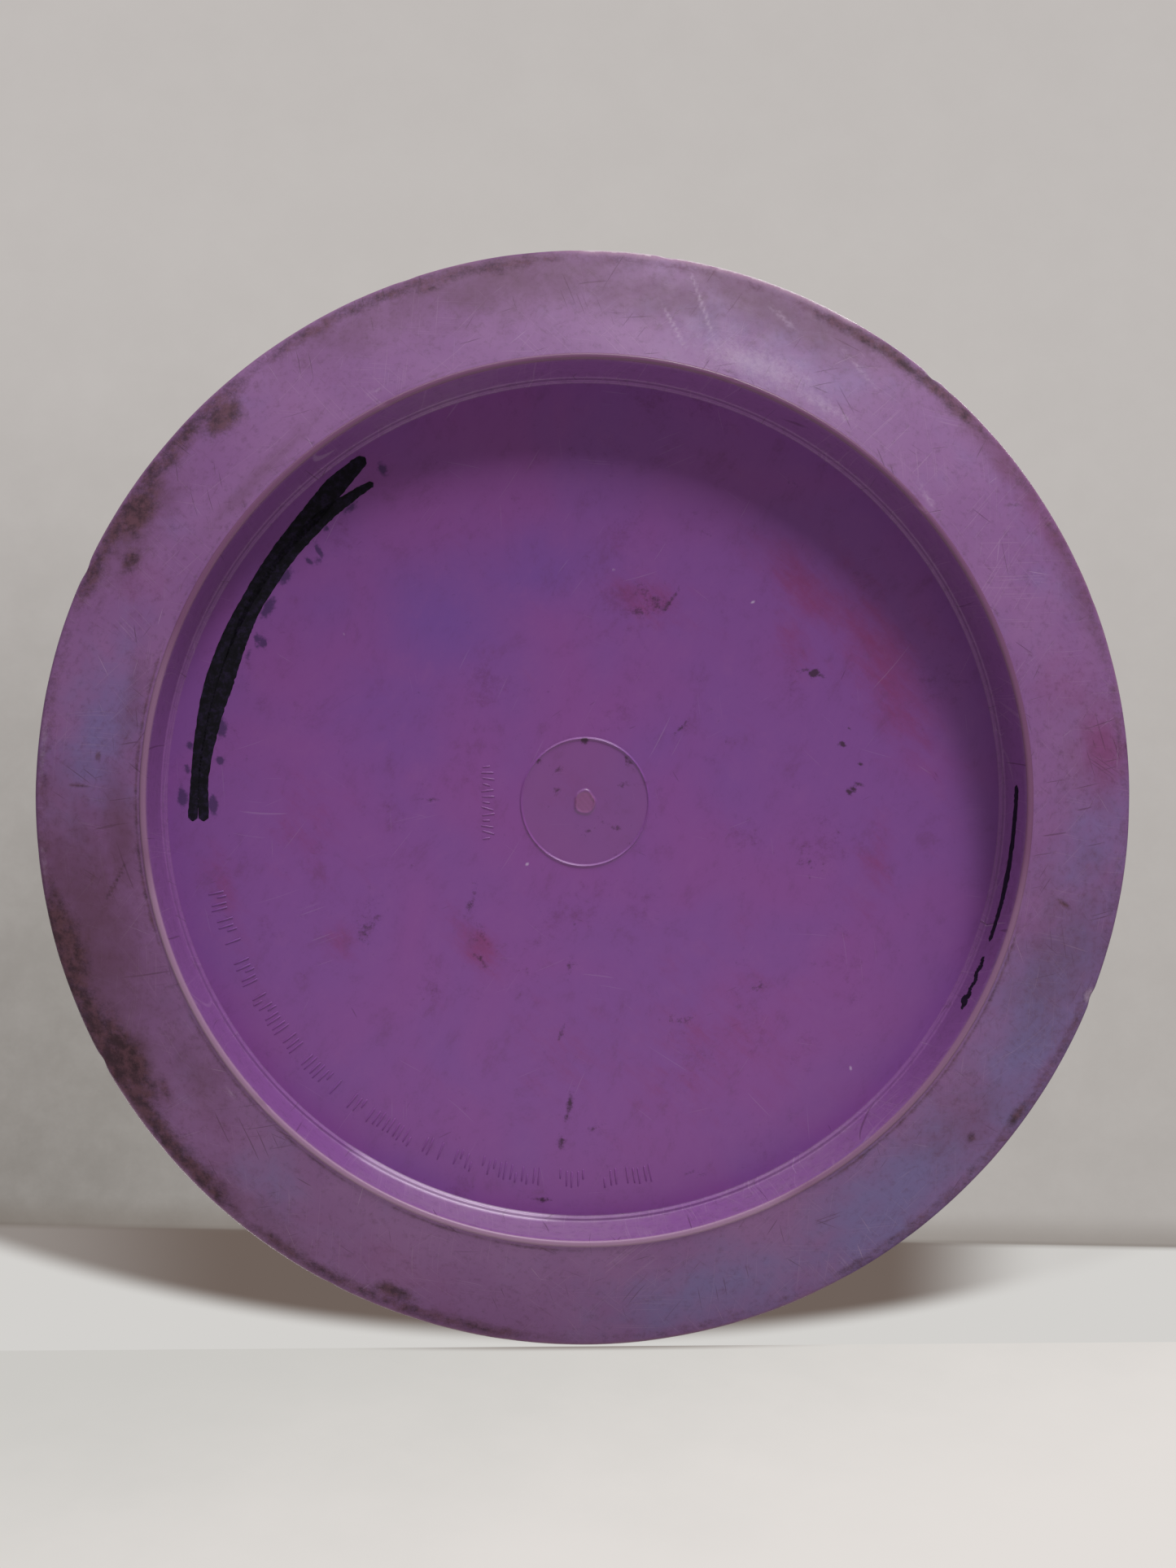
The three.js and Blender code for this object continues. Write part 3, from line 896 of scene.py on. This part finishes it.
def rim_plastic():
    """Dulled purple plastic, with ground-in dirt, scuffs, scratches and drifts of hue, and painted
    highlights on the step, the lip and the nose's edge.
    """
    g = Graph("rim_plastic")
    top, inside, lip, step = (g.painted(name) for name in ("top", "inside", "lip", "step"))
    mottle = g.noise(1.5, 4.0, 0.75)
    curved = g.bent(*SCRATCH_BEND)
    body = rim_smears(g, rim_hues(g, inside), mottle, curved)
    body, light_lines, dark_lines, hair_lines = rim_lines(g, body, curved)
    upper = g.mix(g.painted("outward"), srgb(*TOP_PURPLE), srgb(132, 90, 145))
    worn, marks, rubbed = worn_top(g, upper, curved)
    body, grime, scuffs_and_nose_highlight = rim_scuffs(g, g.mix(top, body, worn))
    body, soiled = rim_soil(g, body, lip, curved)
    # A painted highlight along the step, strongest on the glossy arc.
    body = g.stain(body, step, (0.45, 1.0), 0.45, (214, 190, 222))
    g.put(g.shader.inputs["Base Color"], body)
    gloss = g.sum((0.42, 1.0), (g.noise(4, 4.0, 0.65), 0.16), (soiled, 0.2), (scuffs_and_nose_highlight, 0.1),
                  (inside, -0.06), (step, -0.2), (lip, -0.12), (grime, 0.12), (rubbed, 0.08))
    g.put(g.shader.inputs["Roughness"], gloss)
    g.shader.inputs["Specular IOR Level"].default_value = 0.4
    relief = g.sum((g.noise(0.8, 3.0, 0.6), 0.3), (light_lines, -0.5), (hair_lines, -0.2),
                   (dark_lines, -0.7), (soiled, 0.2), (mottle, 0.3), (marks, -0.8))
    g.put(g.shader.inputs["Normal"], g.bump(relief, 0.5, 0.05))
    return g.material


def plate_hues(g):
    """The plate's purple with its drifts of hue and its grain, paler inside the ring."""
    cloud = g.noise(34, 2.0, 0.5, warp=0.6)
    body = g.mix(g.window(cloud, 0.35, 0.65), srgb(135, 76, 149), srgb(129, 77, 151))
    drift = g.broken("blue", (20, 4.0, 0.6), 0.9, 0.45)
    body = g.stain(body, drift, (0.0, 1.4), 1.0, (116, 76, 155))
    swept = g.noise(1, 5.0, 0.75, g.turned(g.place, (3.0, 9.0, 5.0), -48))
    flush = g.sum((g.painted("magenta"), 1.0), (swept, 1.6), (0.75, -1.0))
    body = g.stain(body, flush, (0.1, 1.25), 0.88, (132, 58, 112))
    grain = g.noise(1, 5.0, 0.8, g.turned(g.bent(20, 8), (5.0, 8.0, 6.0), 30))
    body = g.stain(body, grain, (0.5, 0.76), 0.42, (106, 58, 104))
    body = g.stain(body, grain, (0.5, 0.28), 0.25, (142, 88, 154))
    return g.tint(body, g.painted("centre"), 0.5, (128, 80, 138))


def plate_marks(g, body, fine):
    """A dull film, smudges, faded ink and the gate's scar."""
    film = g.window(g.sum((fine, 1.0), (g.noise(14, 2.0), 0.8)), 0.98, 1.3, 0.0, 0.4)
    body = g.mix(film, body, srgb(96, 46, 92))
    smudge = g.sum((g.painted("soil"), 1.0), (fine, 1.7), (g.noise(0.6, 2.0, 0.7), 0.5),
                   (1.1, -1.0))
    smudged = g.window(smudge, 0.22, 0.75)
    body = g.tint(body, smudged, 0.86, (50, 20, 44))
    ghost = g.broken("ghost", (0.7, 3.0, 0.7), 0.8, 0.4)
    body = g.stain(body, ghost, (0.15, 0.6), 0.75, (52, 36, 80))
    body = g.tint(body, g.painted("gate"), 0.7, (142, 88, 132))
    return body, smudged


def plate_plastic():
    """Smooth moulded purple plastic with soft magenta and blue drifts, smudges and old ink."""
    g = Graph("plate_plastic")
    fine = g.noise(1.9, 5.0, 0.8)
    body, smudged = plate_marks(g, plate_hues(g), fine)
    top = g.painted("top")
    curved = g.bent(*SCRATCH_BEND)
    lines = g.scratches(curved, (8, 39, 83, 122, 161), 14, 0.25, 1.04)
    body = g.tint(body, lines, 0.14, (190, 168, 204))
    body = g.stain(body, g.painted("pale"), (0.3, 0.7), 0.7, (190, 168, 204))
    nicks = g.scratches(curved, (21, 66, 110, 151), 5, 0.4, 1.09)
    body = g.tint(body, nicks, 0.4, (76, 36, 76))
    worn, marks, rubbed = worn_top(g, srgb(*TOP_PURPLE), curved)
    body = g.mix(top, body, worn)
    g.put(g.shader.inputs["Base Color"], body)
    gloss = g.sum((0.32, 1.0), (fine, 0.1), (smudged, 0.15), (top, 0.1), (rubbed, 0.1))
    g.put(g.shader.inputs["Roughness"], gloss)
    relief = g.sum((g.noise(1.4, 2.0), 0.15), (lines, -0.2), (g.noise(7, 1.0), 0.5), (nicks, -0.5),
                   (marks, -0.8))
    g.put(g.shader.inputs["Normal"], g.bump(relief, 0.35, 0.05))
    return g.material


def marker_ink():
    """Dried felt-pen ink: near black, faintly violet where it is thin."""
    g = Graph("marker_ink")
    streak = g.noise(1.1, 4.0, 0.65)
    body = g.mix(g.window(streak, 0.42, 0.75), srgb(11, 9, 19), srgb(36, 26, 54))
    g.put(g.shader.inputs["Base Color"], body)
    g.put(g.shader.inputs["Roughness"], g.window(streak, 0.3, 0.7, 0.5, 0.68))
    g.shader.inputs["Specular IOR Level"].default_value = 0.2
    g.put(g.shader.inputs["Normal"], g.bump(g.noise(0.5, 2.0), 0.3, 0.02))
    return g.material


# ---- the disc
def make_disc():
    rim = revolve("disc_rim", rim_profile(), RIM_FACETS, worn_rim, on_axis=False)
    wear_rim(rim)
    rim.data.materials.append(rim_plastic())
    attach(rim, "root")
    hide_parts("rim")
    plate = revolve("disc_plate", plate_profile(), PLATE_FACETS, shaped_plate, on_axis=True)
    wear_plate(plate)
    smooth = plate_plastic()
    plate.data.materials.append(smooth)
    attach(plate, "root")
    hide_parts("flight_plate")
    make_raised_marks(smooth)
    make_ink(marker_ink())


# ---- camera
CAMERA_PLACE = (-0.0170, -0.0055, -0.2581)      # metres
CAMERA_TILT = 1.41      # the camera looks this far towards +Y, off the spin axis
CAMERA_PAN = 1.04       # and this far towards +X
CAMERA_LENS = 31.76
CAMERA_SHIFT = (0.0413, 0.0155)


def make_camera():
    data = bpy.data.cameras.new("camera")
    data.sensor_width = 36
    data.lens = CAMERA_LENS
    data.shift_x, data.shift_y = CAMERA_SHIFT
    data.clip_start = 0.01
    camera = in_scene("camera", data)
    camera.location = CAMERA_PLACE
    camera.rotation_euler = (math.radians(180 - CAMERA_TILT), math.radians(CAMERA_PAN), 0)
    bpy.context.scene.camera = camera


# ---- stage and light
GROUND_DROP = 0.0001    # metres that the ground lies under the rim
BACKDROP_HEIGHT = 0.9   # metres; the main view's wall, far over the disc and facing down
FLOOR_LINE = 383        # where the wall's foot shows on the backdrop, towards +Y
FLOOR_SLANT = 0.0256
SHADE_CENTRE = (60, -245)       # middle of the oval shade at the wall's foot
SHADE_STRETCH = 1.5             # it is this much wider than it is high
SHADE_REACH = (704, 724)        # its radius where it starts to fade, and where it ends
SHELF_AT = 0.1023       # metres towards +Y; it seems to carry the disc in the main view
GROUND_REACH = 30.0     # metres from the middle of the ground to its sides
SHELF_REACH = 1.0
BACKDROP_REACH = 0.75


def one_sided(name, colour_nodes):
    """A glowing stage material, so that no lamp stains it, that is clear from behind."""
    g = Graph(name)
    clear = g.new("ShaderNodeBsdfTransparent", {}).outputs[0]
    pale = g.new("ShaderNodeEmission", {"Color": colour_nodes(g)}).outputs[0]
    behind = g.new("ShaderNodeNewGeometry", {}).outputs["Backfacing"]
    chosen = g.new("ShaderNodeMixShader", {0: behind, 1: pale, 2: clear}).outputs[0]
    g.put(g.tree.nodes["Material Output"].inputs["Surface"], chosen)
    return g.material


def stage_plane(name, corners, material):
    """A flat stage piece that only the camera sees: it neither lights nor shades the disc."""
    piece = mesh_object(name, corners, [tuple(range(len(corners)))])
    piece.data.materials.append(material)
    piece.visible_diffuse = piece.visible_glossy = piece.visible_transmission = False
    piece.visible_volume_scatter = piece.visible_shadow = False


def ground_colour(g):
    """Plain off-white, with a soft shade under and round the disc."""
    x, y, _ = split(g)
    cloud = g.window(g.noise(70, 3.0, 0.5), 0.3, 0.7)
    pale = g.mix(cloud, srgb(214, 212, 209), srgb(218, 216, 213))
    away = radius_from(g, g.sum((x, 1.0), (2.0, 1.0)), g.sum((y, 1.0), (2.0, -1.0)))
    wide = g.window(away, DISC_RADIUS - 15, DISC_RADIUS + 75, 0.4, 0.0)
    close = g.window(away, MOUTH_RADIUS + 3, DISC_RADIUS + 12, 0.93, 0.0)
    return g.mix(g.maths("MAXIMUM", wide, close), pale, srgb(56, 50, 54))


def split(g):
    return g.new("ShaderNodeSeparateXYZ", {0: g.place}).outputs


def radius_from(g, x, y):
    return g.maths("SQRT", g.maths("ADD", g.maths("MULTIPLY", x, x), g.maths("MULTIPLY", y, y)))


def shelf_colour(g):
    """The pale floor in front of the disc, with painted light that brightens it towards the viewer
    and the right, and a painted contact shadow where the disc meets it.
    """
    x, _, z = split(g)
    cloud = g.noise(22, 4.0, 0.6)
    light = g.sum((z, -0.25), (x, 0.12), (cloud, 10.0))
    pale = g.mix(g.window(light, -5, 30), srgb(203, 201, 197), srgb(227, 222, 218))
    # Painted contact shadow where the disc meets the shelf.
    contact_shadow_reach = radius_from(g, g.sum((x, 1 / 52)), g.sum((z, 1 / 2.6)))
    return g.mix(g.window(contact_shadow_reach, 0.1, 1.0, 0.75, 0.0), pale, srgb(120, 106, 100))


def backdrop_colour(g):
    """Pale wall over a paler floor, with painted light and shade. The wall darkens downwards and
    to the left, there is painted shade above the floor line and a dark painted line in the corner,
    and the disc's soft painted shadow lies on the floor at the wall's foot.
    """
    x, y, _ = split(g)
    below_line = g.sum((y, 1.0), (x, -FLOOR_SLANT), (FLOOR_LINE, -1.0))
    cloud = g.noise(150, 4.0, 0.6)
    # Painted shade: the wall's lower part darkens towards the left.
    foot = g.mix(g.window(x, -430, 120), srgb(138, 133, 128), srgb(174, 169, 165))
    wall = g.mix(g.window(g.sum((y, 1.0), (cloud, 150.0)), -420, 460), srgb(191, 186, 183), foot)
    # Painted shadow of the disc on the floor behind it.
    across = g.sum((x, 1 / SHADE_STRETCH), (SHADE_CENTRE[0], -1 / SHADE_STRETCH))
    upward = g.sum((y, 1.0), (SHADE_CENTRE[1], -1.0))
    shade = g.window(radius_from(g, across, upward), *SHADE_REACH, 1.0, 0.0)
    shade = g.maths("MULTIPLY", shade, g.window(x, 310, 455, 1.0, 0.1))
    shade = g.maths("MULTIPLY", shade, g.window(x, -434, -229, 0.75, 1.0))
    floor = g.mix(shade, srgb(211, 209, 206), srgb(110, 97, 90))
    wall = g.stain(wall, g.noise(60, 5.0, 0.7), (0.3, 0.75), 0.12, (206, 202, 199))
    # Painted shade on the wall just above the floor line.
    wall = g.stain(wall, below_line, (-30, -1), 0.4, (112, 100, 90))
    seen = g.mix(g.window(below_line, -1.2, 1.2), wall, floor)
    # A dark painted shade line in the corner where the wall meets the floor.
    crease = g.window(g.maths("ABSOLUTE", below_line), 0.5, 4, 0.3, 0.0)
    return g.mix(crease, seen, srgb(116, 106, 99))


def make_stage():
    low, high = -GROUND_REACH, GROUND_REACH
    z = -GROUND_DROP
    stage_plane("stage_ground", [(low, low, z), (high, low, z), (high, high, z), (low, high, z)],
                one_sided("stage_paper", ground_colour))
    reach, z = SHELF_REACH, -2 * GROUND_DROP
    corners = [(reach, SHELF_AT, z), (-reach, SHELF_AT, z), (-reach, SHELF_AT, -reach),
               (reach, SHELF_AT, -reach)]
    stage_plane("stage_shelf", corners, one_sided("stage_shelf", shelf_colour))
    half, z = BACKDROP_REACH, BACKDROP_HEIGHT
    corners = [(-half, -half, z), (-half, half, z), (half, half, z), (half, -half, z)]
    stage_plane("stage_backdrop", corners, one_sided("stage_wall", backdrop_colour))


BOUNCE_COLOUR = (1.0, 0.97, 0.91)
BOUNCE_HEIGHT = -0.255          # metres
# The surround, first as it lights the disc and then as the camera sees it
WORLD_STRENGTH = (0.1, 0.69)
WORLD_HUE = ((1.0, 0.93, 0.78, 1), (1.0, 0.985, 0.97, 1))


def area_light(name, azimuth, elevation, distance, size, power):
    """A soft light aimed at the disc. Azimuth is round +Z from +X, and metres are used."""
    a, e = math.radians(azimuth), math.radians(elevation)
    back = Vector((math.cos(a) * math.cos(e), math.sin(a) * math.cos(e), math.sin(e)))
    data = bpy.data.lights.new(name, "AREA")
    data.shape = "RECTANGLE"
    data.size, data.size_y = size
    data.energy = power
    lamp = in_scene(name, data)
    lamp.location = back * distance
    lamp.rotation_euler = back.to_track_quat("Z", "Y").to_euler()
    return lamp


def make_light():
    area_light("key_below", -70, -28.3, 1.2, (0.36, 0.27), 8.5)
    area_light("sky_below", -90, -16, 1.3, (1.9, 0.4), 9.6)
    floor_bounce = area_light("floor_below", 90, 0, 0.13, (0.9, 0.49), 0.96)
    floor_bounce.data.color = BOUNCE_COLOUR
    floor_bounce.location.z = BOUNCE_HEIGHT
    area_light("key_above", -50, 52, 1.2, (0.5, 0.5), 9.0)
    area_light("fill_above", 140, 40, 1.4, (0.8, 0.8), 4.5)
    bpy.context.scene.view_settings.view_transform = "Standard"


def make_world():
    """A dim warm surround for the disc, and a pale one for the camera."""
    world = bpy.data.worlds.new("studio")
    bpy.context.scene.world = world
    world.use_nodes = True
    tree = world.node_tree
    seen = tree.nodes.new("ShaderNodeLightPath").outputs["Is Camera Ray"]
    strength = tree.nodes.new("ShaderNodeMapRange")
    for name, value in zip(("To Min", "To Max"), WORLD_STRENGTH):
        strength.inputs[name].default_value = value
    hue = tree.nodes.new("ShaderNodeMix")
    hue.data_type = "RGBA"
    hue.inputs[6].default_value, hue.inputs[7].default_value = WORLD_HUE
    surround = tree.nodes["Background"]
    tree.links.new(seen, strength.inputs["Value"])
    tree.links.new(seen, hue.inputs[0])
    tree.links.new(hue.outputs[2], surround.inputs["Color"])
    tree.links.new(strength.outputs[0], surround.inputs["Strength"])


make_camera()
make_disc()
make_stage()
make_light()
make_world()
